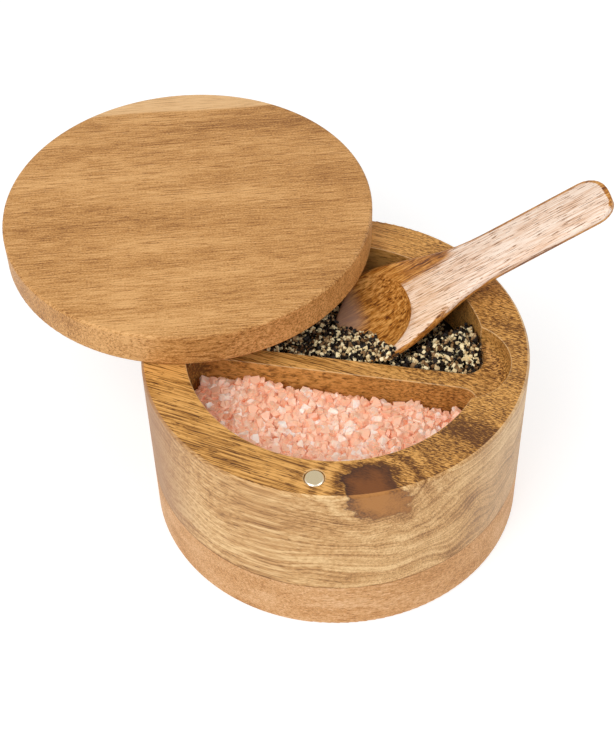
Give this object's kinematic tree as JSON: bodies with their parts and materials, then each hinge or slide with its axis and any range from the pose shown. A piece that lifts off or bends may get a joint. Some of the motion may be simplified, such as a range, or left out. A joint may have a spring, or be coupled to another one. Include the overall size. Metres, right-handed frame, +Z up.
{
  "type": "salt box",
  "caption": "Round wooden salt box with two pockets, a swivel lid held by magnets, and a scoop spoon resting in the pepper.",
  "frame": {"origin": "centre of the underside of the base board", "axes": "+Z up through the middle of the box, +X along the divider towards the round recess, +Y towards the pepper pocket and the pivot"},
  "size_m": [0.2082, 0.1734, 0.0983],
  "materials": {
    "block_wood": "oiled acacia",
    "base_wood": "oiled acacia sapwood",
    "lid_wood": "oiled acacia",
    "pin_steel": "ground",
    "magnet_nickel": "nickel plated, satin face",
    "spoon_wood": "oiled acacia",
    "salt_crystals": null,
    "pepper_grains": null
  },
  "bodies": {
    "box": {"body_block": "block_wood", "base_board": "base_wood", "body_magnet": "magnet_nickel", "salt": "salt_crystals", "pepper": "pepper_grains"},
    "pin": {"pivot_pin": "pin_steel"},
    "lid": {"lid": "lid_wood", "lid_magnet": "magnet_nickel"},
    "spoon": {"spoon": "spoon_wood"}
  },
  "joints": [
    {"name": "lid_closing", "type": "hinge", "parent": "box", "child": "pin", "pos_m": [-0.00329, 0.05711, 0.0674], "axis": [0, 0, 1], "range_deg": [0, 82]},
    {"name": "lid_opening", "type": "hinge", "parent": "pin", "child": "lid", "pos_m": [-0.00329, 0.05711, 0.0674], "axis": [0, 0, 1], "range_deg": [-98, 0]},
    {"name": "spoon_lift", "type": "slide", "parent": "box", "child": "spoon", "axis": [0.866, 0, 0.5], "range_m": [0, 0.123]}
  ],
  "couplings": [
    {"joint": "lid_closing", "follows": "spoon_lift", "rad_per_m": 11.636}
  ]
}
